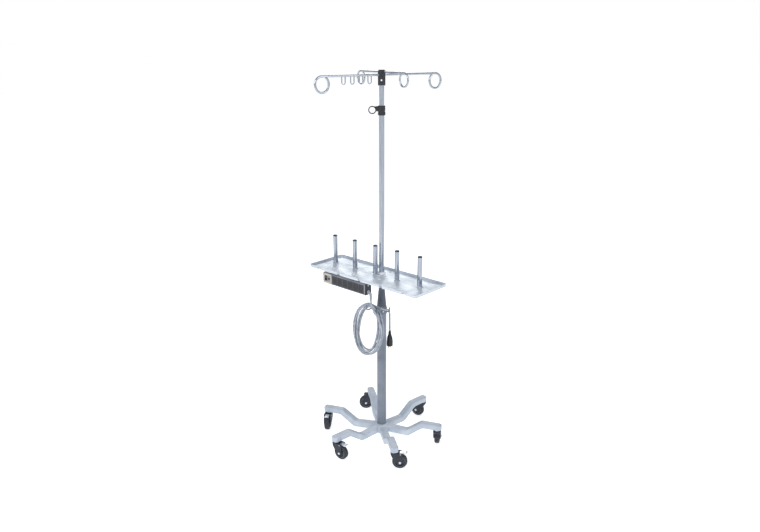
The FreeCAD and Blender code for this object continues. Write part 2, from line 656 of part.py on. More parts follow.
def outlet_strip():
    """The metal housing with an opening for each outlet, the switch and the reset button."""
    name = "strip_housing"
    body = new_body(name)
    top = strip_top()
    foot = top - d.strip_height
    profile = rectangle(body, "YZ_Plane", -d.strip_front, foot, -d.strip_front + d.strip_depth, top)
    pad(body, profile, d.strip_left + d.strip_right, lift=-d.strip_left)
    round_edges(body, 3, lambda edge: along(edge, x=1))
    middle_z = (top + foot) / 2
    for x in outlet_places():
        opening = rectangle(body, "XZ_Plane", as_size(x) - d.outlet_width / 2, middle_z - d.outlet_height / 2,
                            as_size(x) + d.outlet_width / 2, middle_z + d.outlet_height / 2)
        pocket(body, opening, d.outlet_depth, lift=d.strip_front, reverse=False)
    switch_hole = rectangle(body, "XZ_Plane", -d.switch_place - d.rocker_width / 2 - 0.5,
                            middle_z - d.rocker_radius - 0.6, -d.switch_place + d.rocker_width / 2 + 0.5,
                            middle_z + d.rocker_radius + 0.6)
    pocket(body, switch_hole, 24, lift=d.strip_front)
    button_hole = circles(body, "XZ_Plane", [(-d.button_place, middle_z, d.button_radius + 0.3)])
    pocket(body, button_hole, 20, lift=d.strip_front)
    finish(body, name)
    outlets(middle_z)
    rocker_and_button(middle_z)
    strip_brackets()


def outlets(middle_z):
    """Outlet blocks, each with two blade slots and a round earth hole."""
    body = new_body("outlets")
    face = d.strip_front
    left = outlet_places()[-1]
    half = d.outlet_width / 2
    block = rectangle(body, "XZ_Plane", as_size(left) - half, middle_z - d.outlet_height / 2,
                      as_size(left) + half, middle_z + d.outlet_height / 2)
    pad(body, block, d.outlet_depth, lift=face, reverse=True)
    for side in (-6.35, 6.35):
        slot = rectangle(body, "XZ_Plane", as_size(left + side - 1.2), middle_z + 1,
                         as_size(left + side + 1.2), middle_z + 9)
        pocket(body, slot, 14, lift=face)
    earth = circles(body, "XZ_Plane", [(left, middle_z - 8, 2.6)])
    pocket(body, earth, 14, lift=face)
    repeated(body, "all_outlets", "X_Axis", d.outlet_pitch, d.outlet_count)
    finish(body, "outlets")


def rocker_and_button(middle_z):
    rocker = new_body("rocker_switch")
    reach = d.rocker_radius * 0.95
    outline = [(-reach * 0.62, -reach * 0.7), (reach * 0.1, -reach), (reach * 0.62, -reach * 0.75),
               (reach * 0.3, 0), (reach * 0.62, reach * 0.75), (reach * 0.1, reach),
               (-reach * 0.62, reach * 0.7)]
    pad(rocker, polygon(rocker, "XZ_Plane", outline), d.rocker_width, both_ways=True)
    turn = FreeCAD.Rotation(FreeCAD.Vector(0, 0, 1), -90)
    spot = FreeCAD.Vector(-d.switch_place.value, -d.strip_front.value + 4.5, middle_z.value)
    finish(rocker, "rocker_switch", FreeCAD.Placement(spot, turn))
    button = doc.addObject("Part::Cylinder", "breaker_button")
    button.setExpression("Radius", d.button_radius.text)
    button.setExpression("Height", (d.button_stand + 12).text)
    spot = FreeCAD.Vector(-d.button_place.value, -d.strip_front.value + 12, middle_z.value)
    finish(button, "breaker_button", FreeCAD.Placement(spot, FreeCAD.Rotation(FreeCAD.Vector(1, 0, 0), 90)))


def strip_brackets():
    """Two Z-shaped straps from the tray's underside to the housing's top."""
    body = new_body("strip_brackets")
    top = strip_top()
    under = d.tray_top - d.sheet
    back = -d.strip_front + d.strip_depth
    outline = [(-d.strip_front + 8, top), (back + 4, top), (back + 4, under - 3), (back + 24, under - 3),
               (back + 24, under), (back + 1, under), (back + 1, top + 3), (-d.strip_front + 8, top + 3)]
    pad(body, polygon(body, "YZ_Plane", outline), 22, lift=-d.strip_left + 22)
    repeated(body, "two_brackets", "X_Axis", d.strip_left + d.strip_right - 66, 2)
    finish(body, "strip_brackets")


# ---- cord, plug and their hooks ------------------------------------------------------------------

def cord_path(points):
    """Straight runs joined by tangent arcs as large as the runs allow, and the arcs' radii."""
    route = [FreeCAD.Vector(*point) for point in points]
    edges = []
    radii = []
    start = route[0]
    for before, corner, after in zip(route, route[1:], route[2:]):
        back = before - corner
        ahead = after - corner
        turn = math.pi - back.getAngle(ahead)
        reach = 0.45 * min(back.Length, ahead.Length)
        radii.append(reach / math.tan(turn / 2))
        entry = corner + back.normalize() * reach
        leave = corner + ahead.normalize() * reach
        bisector = (back + ahead).normalize()
        centre = corner + bisector * (reach / math.sin(turn / 2))
        top = centre - bisector * radii[-1]
        edges.append(Part.LineSegment(start, entry).toShape())
        edges.append(Part.Arc(entry, top, leave).toShape())
        start = leave
    edges.append(Part.LineSegment(start, route[-1]).toShape())
    return Part.Wire(edges), radii


def cord_tube(name, points):
    """One free stretch of the mains cord."""
    wire, radii = cord_path(points)
    radius = d.cord_radius.value
    first = wire.Edges[0]
    section = Part.Wire(Part.makeCircle(radius, first.valueAt(first.FirstParameter),
                                        first.tangentAt(first.FirstParameter)))
    tube = wire.makePipeShell([section], True, False)
    ratio = tube.Volume / (math.pi * radius * radius * wire.Length)
    print(name, "length %.0f" % wire.Length, "volume ratio %.3f" % ratio,
          "radii", ["%.0f" % value for value in radii])
    thing = doc.addObject("Part::Feature", name)
    thing.Shape = tube
    finish(thing, name)


def cord_coil():
    """The hanging coil's outer shape: a flat oval ring that leans a little."""
    wide, tall = d.coil_wide.value, d.coil_tall.value
    band = d.coil_band.value
    thick = d.coil_thick.value
    centre = FreeCAD.Vector(COIL_CENTRE[0], COIL_CENTRE[1] + thick / 2, COIL_CENTRE[2])
    ring = oval_block(centre, tall, wide, thick).cut(oval_block(centre, tall - band, wide - band, thick))
    rims = [edge for edge in ring.Edges if isinstance(edge.Curve, Part.Ellipse)]
    thing = doc.addObject("Part::Feature", "cord_coil")
    thing.Shape = ring.makeFillet(d.coil_edge.value, rims)
    finish(thing, "cord_coil")


def oval_block(centre, tall, wide, thick):
    """A leaning elliptical block whose back face is at the centre's Y."""
    ellipse = Part.Ellipse(centre + leaned(0, tall), centre + leaned(wide, 0), centre)
    face = Part.Face(Part.Wire(ellipse.toShape()))
    return face.extrude(FreeCAD.Vector(0, -thick, 0))


def leaned(x, z):
    """A vector in the coil's own upright plane, leaned with the coil about Y."""
    lean = FreeCAD.Rotation(FreeCAD.Vector(0, 1, 0), COIL_LEAN)
    return lean.multVec(FreeCAD.Vector(x, 0, z))


def coil_tie():
    """A strap round the coil's bundle."""
    name = "coil_tie"
    body = new_body(name)
    half_band = d.coil_band / 2 + 0.6
    half_thick = d.coil_thick / 2 + 0.6
    wall = d.strap_wall
    outer = rectangle(body, "YZ_Plane", -half_thick - wall, -half_band - wall,
                      half_thick + wall, half_band + wall)
    pad(body, outer, d.strap_width, both_ways=True)
    round_edges(body, d.coil_edge, lambda edge: along(edge, x=1))
    inner = rectangle(body, "YZ_Plane", -half_thick, -half_band, half_thick, half_band)
    pocket(body, inner, d.strap_width + 2, both_ways=True)
    radians = math.radians(TIE_ANGLE)
    reach_x = (d.coil_wide.value - d.coil_band.value / 2) * math.cos(radians)
    reach_z = (d.coil_tall.value - d.coil_band.value / 2) * math.sin(radians)
    slope = math.degrees(math.atan2(reach_z * (d.coil_wide.value / d.coil_tall.value) ** 2, reach_x))
    spot = FreeCAD.Vector(*COIL_CENTRE) + leaned(reach_x, reach_z)
    turn = FreeCAD.Rotation(FreeCAD.Vector(0, 1, 0), 90 - slope + COIL_LEAN)
    finish(body, name, FreeCAD.Placement(spot, turn))


def strain_relief():
    """The angled sleeve where the cord leaves the housing's end and turns down."""
    x, y, z = LEAD_ROUTE[0]
    bend = d.sleeve_bend.value
    high = z + d.sleeve_drop.value + bend
    wall_x = d.strip_right.value
    slant = bend * math.sqrt(0.5)
    out = Part.LineSegment(FreeCAD.Vector(wall_x, y, high), FreeCAD.Vector(x - bend, y, high))
    halfway = FreeCAD.Vector(x - bend + slant, y, high - bend + slant)
    arc = Part.Arc(FreeCAD.Vector(x - bend, y, high), halfway, FreeCAD.Vector(x, y, high - bend))
    down = Part.LineSegment(FreeCAD.Vector(x, y, high - bend), FreeCAD.Vector(x, y, z))
    path = Part.Wire([out.toShape(), arc.toShape(), down.toShape()])
    outward = FreeCAD.Vector(1, 0, 0)
    section = Part.Wire(Part.makeCircle(d.sleeve_radius.value, FreeCAD.Vector(wall_x, y, high), outward))
    sleeve = path.makePipeShell([section], True, False)
    collar = Part.makeCylinder(d.sleeve_radius.value + 2.5, 2.5, FreeCAD.Vector(wall_x, y, high), outward)
    thing = doc.addObject("Part::Feature", "strain_relief")
    thing.Shape = sleeve.fuse(collar).removeSplitter()
    finish(thing, "strain_relief")


def plug():
    """The plug hangs from the cord's end with its blades down."""
    name = "plug_body"
    shoulder = d.plug_top - 28
    turned(name, [
        (0, d.plug_foot), (d.plug_radius, d.plug_foot), (d.plug_radius, shoulder),
        (d.cord_radius + 4, d.plug_top), (d.cord_radius + 1.2, d.plug_tail), (0, d.plug_tail)],
        at(PLUG_PLACE[0], PLUG_PLACE[1]), soften=(2.5, [d.plug_foot]))
    blades = []
    x, y, foot = PLUG_PLACE[0], PLUG_PLACE[1], d.plug_foot.value
    for side in (-6.35, 6.35):
        blades.append(Part.makeBox(1.5, 6.3, 18, FreeCAD.Vector(x + side - 0.75, y - 6, foot - 18)))
    blades.append(Part.makeCylinder(2.4, 20, FreeCAD.Vector(x, y + 7, foot - 20)))
    group = doc.addObject("Part::Feature", "plug_blades")
    group.Shape = Part.makeCompound(blades)
    finish(group, "plug_blades")


def cord_hooks():
    """A band on the column with one hook for the coil and one for the cord's tail."""
    band = Part.makeCylinder(d.column_radius.value + d.band_wall.value, d.band_top.value - d.band_foot.value,
                             FreeCAD.Vector(0, 0, d.band_foot.value))
    start, reach = d.column_radius.value - 1, d.coil_hook_reach.value
    foot, rise, tip = d.coil_hook_foot.value, d.coil_hook_rise.value, d.hook_tip.value
    coil_hook = bent_rod([(start, 0, foot), (start + 41, 0, rise), (reach, 0, rise), (reach, 0, rise + tip)], -90)
    reach, rise = d.tail_hook_reach.value, d.tail_hook_rise.value
    tail_hook = bent_rod([(start, 0, rise), (reach, 0, rise), (reach, 0, rise + tip - 4)], TAIL_HOOK_ANGLE)
    tube = Part.makeCylinder(d.column_radius.value, 200, FreeCAD.Vector(0, 0, d.band_foot.value - 50))
    thing = doc.addObject("Part::Feature", "cord_hooks")
    thing.Shape = band.multiFuse([coil_hook, tail_hook]).cut(tube).removeSplitter()
    finish(thing, "cord_hooks")


def bent_rod(route, angle):
    """A hook rod bent along a route in the XZ plane, with a round tip, and turned about the column."""
    radius = d.hook_rod.value
    wire, _ = cord_path(route)
    first = wire.Edges[0]
    section = Part.Wire(Part.makeCircle(radius, first.valueAt(first.FirstParameter),
                                        first.tangentAt(first.FirstParameter)))
    rod = wire.makePipeShell([section], True, False)
    rod = rod.fuse(Part.makeSphere(radius, FreeCAD.Vector(*route[-1])))
    return placed(rod, around(0, 0, turn=angle))


# ---- hook head -----------------------------------------------------------------------------------

def looped_rod(name, angle, height, reach, wire, loop):
    """A straight rod through the head with a hanging loop at each end."""
    parts = []
    bar = doc.addObject("Part::Cylinder", name + "_bar")
    bar.setExpression("Radius", wire.text)
    bar.setExpression("Height", (reach * 2).text)
    bar.setExpression("Placement.Base.x", (-reach).text)
    bar.Placement.Rotation = FreeCAD.Rotation(FreeCAD.Vector(0, 1, 0), 90)
    parts.append(bar)
    for side, flip in ((1, 0), (-1, 180)):
        hoop = doc.addObject("Part::Torus", name + "_hoop")
        hoop.setExpression("Radius1", loop.text)
        hoop.setExpression("Radius2", wire.text)
        hoop.setExpression("Angle3", d.loop_turn.text)
        upright = FreeCAD.Rotation(FreeCAD.Vector(1, 1, 1), 240)
        hoop.Placement.Rotation = FreeCAD.Rotation(FreeCAD.Vector(0, 0, 1), flip).multiply(upright)
        hoop.setExpression("Placement.Base.x", (reach * side).text)
        hoop.setExpression("Placement.Base.z", (-loop).text)
        end = math.radians(d.loop_turn.value)
        tip = doc.addObject("Part::Sphere", name + "_tip")
        tip.setExpression("Radius", wire.text)
        tip.Placement.Base = FreeCAD.Vector(side * (reach.value + loop.value * math.sin(end)), 0,
                                            loop.value * (math.cos(end) - 1))
        parts += [hoop, tip]
    whole = doc.addObject("Part::MultiFuse", name)
    whole.Shapes = parts
    whole.Refine = True
    finish(whole, name, at(0, 0, height, angle))


def ring_hooks():
    """Four small closed hooks under one arm of the main rod."""
    shapes = []
    wire, radius, drop = d.ring_wire.value, d.ring_radius.value, d.ring_drop.value
    top = -d.main_rod.value + 1
    for index in range(int(d.ring_count.value)):
        x = -(d.ring_first.value + index * d.ring_pitch.value)
        low = top - drop
        left = Part.LineSegment(FreeCAD.Vector(x - radius, 0, top), FreeCAD.Vector(x - radius, 0, low))
        arc = Part.Arc(FreeCAD.Vector(x - radius, 0, low), FreeCAD.Vector(x, 0, low - radius),
                       FreeCAD.Vector(x + radius, 0, low))
        right = Part.LineSegment(FreeCAD.Vector(x + radius, 0, low), FreeCAD.Vector(x + radius, 0, top))
        path = Part.Wire([left.toShape(), arc.toShape(), right.toShape()])
        start = FreeCAD.Vector(x - radius, 0, top)
        section = Part.Wire(Part.makeCircle(wire, start, FreeCAD.Vector(0, 0, -1)))
        shapes.append(path.makePipeShell([section], True, False))
    rod = Part.makeCylinder(d.main_rod.value, 400, FreeCAD.Vector(-400, 0, 0), FreeCAD.Vector(1, 0, 0))
    group = doc.addObject("Part::Feature", "ring_hooks")
    group.Shape = Part.makeCompound([shape.cut(rod) for shape in shapes])
    finish(group, "ring_hooks", at(0, 0, d.main_rise, MAIN_ROD_ANGLE))


def hook_head():
    """The black head on the sliding tube, bored for both rods."""
    name = "hook_head"
    body = new_body(name)
    bore = d.slider_radius + d.head_play
    roof = d.head_foot + d.head_bore + 0.3
    outline = [(bore, d.head_foot), (d.head_radius - 1, d.head_foot), (d.head_radius, d.head_foot + 1),
               (d.head_radius, d.head_top - 4.5), (d.head_radius - 5, d.head_top), (0, d.head_top),
               (0, roof), (bore, roof)]
    revolve(body, polygon(body, "XZ_Plane", outline))
    round_edges(body, 3, lambda edge: circle_at(edge, d.head_top))
    pocket(body, circles(body, "YZ_Plane", [(0, d.main_rise, d.main_rod)]), 60, both_ways=True)
    pocket(body, circles(body, "XZ_Plane", [(0, d.cross_rise, d.cross_rod)]), 60, both_ways=True)
    finish(body, name, at(turn=MAIN_ROD_ANGLE))
    screw = doc.addObject("Part::Cylinder", "head_screw")
    screw.setExpression("Radius", d.cross_rod.text)
    screw.setExpression("Height", "3")
    turn = FreeCAD.Rotation(FreeCAD.Vector(0, 0, 1), HEAD_SCREW_ANGLE)
    direction = turn.multiply(FreeCAD.Rotation(FreeCAD.Vector(0, 1, 0), 90))
    radians = math.radians(HEAD_SCREW_ANGLE)
    reach = d.head_radius.value - 0.3
    spot = FreeCAD.Vector(reach * math.cos(radians), reach * math.sin(radians), d.head_foot.value + 22)
    finish(screw, "head_screw", FreeCAD.Placement(spot, direction))


def build():
    base_casting()
    casters()
    column()
    outer_pole()
    inner_pole()
    collar_lock()
    collar_lever()
    tray()
    pump_posts()
    tray_fittings()
    outlet_strip()
    strain_relief()
    cord_tube("cord_lead", LEAD_ROUTE)
    cord_coil()
    cord_tube("cord_tail", TAIL_ROUTE)
    coil_tie()
    plug()
    cord_hooks()
    hook_head()
    looped_rod("main_rod", MAIN_ROD_ANGLE, d.main_rise, d.main_reach, d.main_rod, d.main_loop)
    looped_rod("cross_rod", CROSS_ROD_ANGLE, d.cross_rise, d.cross_reach, d.cross_rod, d.cross_loop)
    ring_hooks()
    doc.recompute()


def write_parts():
    """Checks every object and every sub-part's shape, and then writes one file for each."""
    for thing in doc.Objects:
        if "Invalid" in thing.State or "Error" in thing.State:
            raise RuntimeError("%s failed: %s" % (thing.Name, thing.State))
    for node in nodes:
        if node.Shape.isNull() or not node.Shape.isValid():
            raise RuntimeError("%s has no valid shape" % node.Label)
    os.makedirs("parts", exist_ok=True)
    for node in nodes:
        node.Shape.exportStep("parts/%s.step" % node.Label)
    print(len(nodes), "sub-parts written")


build()
write_parts()
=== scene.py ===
"""Rolling infusion stand for five pumps: its finishes, its mains cord and its small fittings, built round
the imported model. Metres, +Z up, the pole's axis at the origin and the outlet strip on the -Y side."""
import bmesh
import bpy
import math
from mathutils import Matrix, Vector


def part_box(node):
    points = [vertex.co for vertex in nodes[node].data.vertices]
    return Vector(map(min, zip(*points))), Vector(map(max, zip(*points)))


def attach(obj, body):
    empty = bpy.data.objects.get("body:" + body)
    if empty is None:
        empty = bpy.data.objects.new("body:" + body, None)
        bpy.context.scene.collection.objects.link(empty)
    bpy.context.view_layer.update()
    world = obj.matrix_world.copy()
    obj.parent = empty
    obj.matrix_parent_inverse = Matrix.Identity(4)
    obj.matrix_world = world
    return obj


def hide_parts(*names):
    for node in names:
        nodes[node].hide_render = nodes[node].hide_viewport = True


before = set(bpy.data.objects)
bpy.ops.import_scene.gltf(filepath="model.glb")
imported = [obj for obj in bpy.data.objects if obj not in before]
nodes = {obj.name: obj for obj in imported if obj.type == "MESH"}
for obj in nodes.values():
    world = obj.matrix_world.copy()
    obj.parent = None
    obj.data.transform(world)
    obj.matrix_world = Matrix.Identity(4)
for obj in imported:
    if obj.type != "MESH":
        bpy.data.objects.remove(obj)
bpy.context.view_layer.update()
MM = 0.001

LEG_ANGLES = [24, 84, 144, 204, 264, 324]
TRAIL_ANGLES = [122, 187, 222, 302, 7, 42]
BRAKED_LEGS = [4, 5, 6]
MAIN_ROD_ANGLE = 78
CROSS_ROD_ANGLE = -12
WHITE = (1.0, 1.0, 1.0, 1.0)


# ---- camera and light ----------------------------------------------------------------------------

def set_camera():
    """A camera a little above the tray, in front of the stand and to its right."""
    lens = bpy.data.cameras.new("studio_camera")
    lens.sensor_width = 36
    lens.lens = 32.53
    lens.shift_x = -0.0022
    camera = bpy.data.objects.new("studio_camera", lens)
    camera.location = (2.15738, -2.36747, 1.969)
    camera.rotation_euler = (math.pi / 2 - 0.31, 0, 0.739)
    bpy.context.scene.collection.objects.link(camera)
    bpy.context.scene.camera = camera


def soft_light(name, place, size, power):
    """A square soft box that faces the middle of the stand."""
    middle = Vector((0, 0, 0.8))
    lamp = bpy.data.lights.new(name, "AREA")
    lamp.size = size
    lamp.energy = power
    box = bpy.data.objects.new(name, lamp)
    box.location = place
    box.rotation_euler = (middle - Vector(place)).to_track_quat("-Z", "Y").to_euler()
    bpy.context.scene.collection.objects.link(box)


def light_the_studio():
    """Three soft boxes and a white room, with colours shown as they are."""
    soft_light("key_light", (-0.4, -3.6, 3.4), 2.0, 62)
    soft_light("side_light", (3.4, 0.6, 2.6), 1.4, 22)
    soft_light("rear_light", (-2.4, 2.6, 3.0), 1.6, 34)
    light_the_room()
    bpy.context.scene.view_settings.view_transform = "Standard"


def light_the_room():
    """A white room that is bright on the side the stand is looked at from, and dimmer behind it."""
    world = bpy.data.worlds.new("studio_room")
    world.use_nodes = True
    tree = world.node_tree
    walls = tree.nodes["Background"]
    walls.inputs["Color"].default_value = (0.95, 0.975, 1.0, 1.0)
    way = tree.nodes.new("ShaderNodeTexCoord")
    facing_front = tree.nodes.new("ShaderNodeVectorMath")
    facing_front.operation = "DOT_PRODUCT"
    facing_front.inputs[1].default_value = (0.62, -0.68, 0.38)
    fall_off = tree.nodes.new("ShaderNodeMapRange")
    fall_off.inputs["From Min"].default_value = -0.75
    fall_off.inputs["From Max"].default_value = 0.9
    fall_off.inputs["To Min"].default_value = 0.08
    fall_off.inputs["To Max"].default_value = 0.85
    backdrop = tree.nodes.new("ShaderNodeBackground")
    backdrop.inputs["Color"].default_value = WHITE
    seen = tree.nodes.new("ShaderNodeLightPath")
    either = tree.nodes.new("ShaderNodeMixShader")
    tree.links.new(way.outputs["Generated"], facing_front.inputs[0])
    tree.links.new(facing_front.outputs["Value"], fall_off.inputs["Value"])
    tree.links.new(fall_off.outputs["Result"], walls.inputs["Strength"])
    tree.links.new(seen.outputs["Is Camera Ray"], either.inputs["Fac"])
    tree.links.new(walls.outputs["Background"], either.inputs[1])
    tree.links.new(backdrop.outputs["Background"], either.inputs[2])
    tree.links.new(either.outputs["Shader"], tree.nodes["World Output"].inputs["Surface"])
    bpy.context.scene.world = world


# ---- mains cord ----------------------------------------------------------------------------------

CORD_DIAMETER = 9 * MM
LEAD_ROUTE = [(0.047, -0.129, 0.812), (0.047, -0.127, 0.790), (0.049, -0.118, 0.764),
              (0.056, -0.104, 0.735)]
TAIL_ROUTE = [(0.029, -0.081, 0.764), (0.052, -0.075, 0.758), (0.066, -0.060, 0.749),
              (0.071, -0.036, 0.741), (0.059, -0.011, 0.732), (0.040, 0.000, 0.724),
              (0.021, 0.026, 0.710), (0.017, 0.041, 0.693), (0.012, 0.047, 0.664),
              (0.012, 0.048, 0.630), (0.012, 0.048, 0.588)]
COIL_CENTRE = Vector((-0.013, -0.083, 0.638))
COIL_LEAN = Matrix.Rotation(math.radians(12), 3, "Y")
COIL_HALF_WIDTH = 78 * MM
COIL_HALF_HEIGHT = 130 * MM
TIE_ANGLE = 62
COIL_START = 26
COIL_END = 110 - 360 * 6
POINTS_PER_TURN = 18
# Where each turn runs in the bundle, in millimetres: how far outward at its sides, how far backward,
# and how far outward at the bottom, where the longer turns hang lower.
FANNED = [(17, -7, 14), (5, -9, 20), (-11, -8, 2), (-17, 2, 9), (-3, 7, -3), (14, 6, 22)]
# Where the strap holds each pass of the cord, as (outward, backward): the way in comes first, and the
# way out last.
STRAPPED = [(11, -13), (5, -8), (-4.5, -8), (-9.5, 0), (-4.5, 8), (4.5, 8), (13, 9)]
STRAP_HOLD = 36
LOOSE_DRIFT = 0.8


def oval(angle, outward):
    """A point on the coil's leaning oval, moved outward in millimetres."""
    turn = math.radians(angle)
    across, up = math.cos(turn), math.sin(turn)
    normal = Vector((across / COIL_HALF_WIDTH, 0, up / COIL_HALF_HEIGHT)).normalized()
    spot = Vector((COIL_HALF_WIDTH * across, 0, COIL_HALF_HEIGHT * up)) + normal * outward * MM
    return COIL_CENTRE + COIL_LEAN @ spot


def coil_points():
    """Six loose turns, clockwise from the front, drawn together where the strap holds them."""
    points = []
    steps = round((COIL_START - COIL_END) / 360 * POINTS_PER_TURN)
    for step in range(steps + 1):
        angle = COIL_START - (COIL_START - COIL_END) * step / steps
        passes = (TIE_ANGLE - angle) / 360
        turn = min(int(passes + 1e-6), len(FANNED) - 1)
        side, backward, hang = FANNED[turn]
        up = math.sin(math.radians(angle))
        at_end = hang if up < 0 else 0.45 * side - 4
        drift = LOOSE_DRIFT * math.sin(math.radians(2 * angle) + 1.7 * turn)
        loose_out = side * (1 - up * up) + at_end * up * up + drift
        loose_back = backward + drift * 0.8
        off_tie = abs(passes - round(passes)) * 360
        held = math.exp(-(off_tie / STRAP_HOLD) ** 2)
        strapped = STRAPPED[round(passes)]
        outward = held * strapped[0] + (1 - held) * loose_out
        backward = held * strapped[1] + (1 - held) * loose_back
        points.append(oval(angle, outward) + Vector((0, backward * MM, 0)))
    return points


def smooth_line(name, points, diameter):
    """A round cord or wire along one smooth open spline."""
    curve = bpy.data.curves.new(name, "CURVE")
    curve.dimensions = "3D"
    curve.bevel_depth = diameter / 2
    curve.bevel_resolution = 5
    curve.resolution_u = 6
    curve.use_fill_caps = True
    spline = curve.splines.new("NURBS")
    spline.points.add(len(points) - 1)
    for spot, point in zip(spline.points, points):
        spot.co = (*point, 1)
    spline.order_u = 3
    spline.use_endpoint_u = True
    line = bpy.data.objects.new(name, curve)
    bpy.context.scene.collection.objects.link(line)
    return line


# ---- nodes of a finish ---------------------------------------------------------------------------

def srgb(code):
    """An sRGB hex value as linear red, green, blue and alpha."""
    parts = [int(code[place:place + 2], 16) / 255 for place in (1, 3, 5)]
    return [part / 12.92 if part <= 0.04045 else ((part + 0.055) / 1.055) ** 2.4 for part in parts] + [1.0]


def add(material, kind, links=None, **settings):
    """Adds a node with its own settings, and fills or links its sockets."""
    made = material.node_tree.nodes.new(kind)
    for name, value in settings.items():
        setattr(made, name, value)
    for socket, value in (links or {}).items():
        if isinstance(value, bpy.types.NodeSocket):
            material.node_tree.links.new(value, made.inputs[socket])
        else:
            made.inputs[socket].default_value = value
    return made


def new_finish(name, roughness, metallic=0.0):
    """A material with its constant values set on the shader, and the coordinates that its patterns use."""
    material = bpy.data.materials.new(name)
    material.use_nodes = True
    shader = material.node_tree.nodes["Principled BSDF"]
    shader.inputs["Roughness"].default_value = roughness
    shader.inputs["Metallic"].default_value = metallic
    return material, shader, add(material, "ShaderNodeTexCoord").outputs["Object"]


def drive(material, shader, **sockets):
    """Links patterns to the shader's sockets."""
    for name, value in sockets.items():
        material.node_tree.links.new(value, shader.inputs[name.replace("_", " ")])


def patches(material, place, size, tones, detail=3.0, stretch=(1, 1, 1), turn=(0, 0, 0)):
    """Colour that drifts between tones over patches of a size in millimetres."""
    laid = add(material, "ShaderNodeMapping", {"Vector": place, "Scale": stretch, "Rotation": turn})
    cloud = add(material, "ShaderNodeTexNoise",
                {"Vector": laid.outputs["Vector"], "Scale": 1 / (size * MM), "Detail": detail})
    ramp = add(material, "ShaderNodeValToRGB", {"Fac": cloud.outputs["Fac"]})
    band = ramp.color_ramp.elements
    band[0].position = 0.32
    band[1].position = 0.68
    for end, tone in zip(band, tones):
        end.color = srgb(tone)
    return ramp.outputs["Color"], cloud.outputs["Fac"]


def edge_wear_and_painted_light(material, colour, edge_tone, reach, amount):
    """The colour, with another tone along every edge the bevel finds, in corners too: partly wear, and partly
    painted light and shade on the edges.
    """
    # The mask takes in convex and concave edges alike; the tone laid on it is partly wear and partly painted
    # edge light and shade.
    soft = add(material, "ShaderNodeBevel", {"Radius": reach * MM}, samples=4)
    true = add(material, "ShaderNodeNewGeometry")
    match = add(material, "ShaderNodeVectorMath",
                {0: soft.outputs["Normal"], 1: true.outputs["Normal"]}, operation="DOT_PRODUCT")
    edge = add(material, "ShaderNodeMapRange",
               {"Value": match.outputs["Value"], "From Min": 0.99, "From Max": 0.8, "To Min": 0.0,
                "To Max": amount})
    blend = add(material, "ShaderNodeMix", {"Factor": edge.outputs["Result"], 6: colour, 7: srgb(edge_tone)},
                data_type="RGBA")
    return blend.outputs[2]


# ---- finishes ------------------------------------------------------------------------------------

def powder_coat(name, tones, edge_tone, roughness):
    """Powder-coated metal, sprayed and baked: an even satin colour over a faint orange peel, with a darker
    tone along the edges, partly wear and partly painted edge shade."""
    material, shader, place = new_finish(name, roughness)
    colour, cloud = patches(material, place, 70, tones)
    # The orange peel's bumps are 1.5 mm wide on the real coat, and 2.5 mm here so that they show.
    peel = add(material, "ShaderNodeTexNoise", {"Vector": place, "Scale": 1 / (2.5 * MM), "Detail": 2.0})
    bumps = add(material, "ShaderNodeBump",
                {"Height": peel.outputs["Fac"], "Distance": 0.12 * MM, "Strength": 0.5})
    gloss = add(material, "ShaderNodeMapRange",
                {"Value": cloud, "To Min": roughness - 0.07, "To Max": roughness + 0.07})
    drive(material, shader, Base_Color=edge_wear_and_painted_light(material, colour, edge_tone, 1.6, 0.55),
          Roughness=gloss.outputs["Result"], Normal=bumps.outputs["Normal"])
    return material


def drawn_stainless(name, turn=(0, 0, 0), tones=("#8c94a1", "#c4cad3"), roughness=0.18):
    """Stainless tube or rod, drawn and polished along its length: bright metal with fine long draw lines."""
    material, shader, place = new_finish(name, roughness, 1.0)
    # Draw lines are 0.2 mm apart on real tube, and 1 mm apart here so that they show.
    colour, lines = patches(material, place, 1.0, tones, 4.0, (1, 1, 0.01), turn)
    soil = add(material, "ShaderNodeTexNoise", {"Vector": place, "Scale": 1 / (45 * MM), "Detail": 4.0})
    gloss = add(material, "ShaderNodeMapRange",
                {"Value": soil.outputs["Fac"], "From Min": 0.3, "From Max": 0.7, "To Min": roughness - 0.06,
                 "To Max": roughness + 0.1})
    grooves = add(material, "ShaderNodeBump", {"Height": lines, "Distance": 0.03 * MM, "Strength": 0.5})
    drive(material, shader, Base_Color=colour, Roughness=gloss.outputs["Result"],
          Normal=grooves.outputs["Normal"])
    return material


def brushed_sheet(name):
    """Stainless sheet, folded and then brushed along its length: a pale, soft, streaked metal."""
    material, shader, place = new_finish(name, 0.5, 0.85)
    # The brush leaves hairlines 0.3 mm apart, drawn 1.5 mm apart here so that they show.
    colour, lines = patches(material, place, 1.5, ("#c0c8d3", "#e6ebf0"), 4.0, (0.012, 1, 1))
    wipes = add(material, "ShaderNodeTexNoise",
                {"Vector": place, "Scale": 1 / (60 * MM), "Detail": 5.0, "Distortion": 0.6})
    gloss = add(material, "ShaderNodeMapRange",
                {"Value": wipes.outputs["Fac"], "From Min": 0.3, "From Max": 0.7, "To Min": 0.46,
                 "To Max": 0.64})
    scratches = add(material, "ShaderNodeBump", {"Height": lines, "Distance": 0.04 * MM, "Strength": 0.4})
    # Its edges take a darker tone, partly wear and partly painted edge shade.
    drive(material, shader, Base_Color=edge_wear_and_painted_light(material, colour, "#8d96a5", 1.2, 0.5),
          Roughness=gloss.outputs["Result"], Normal=scratches.outputs["Normal"])
    return material


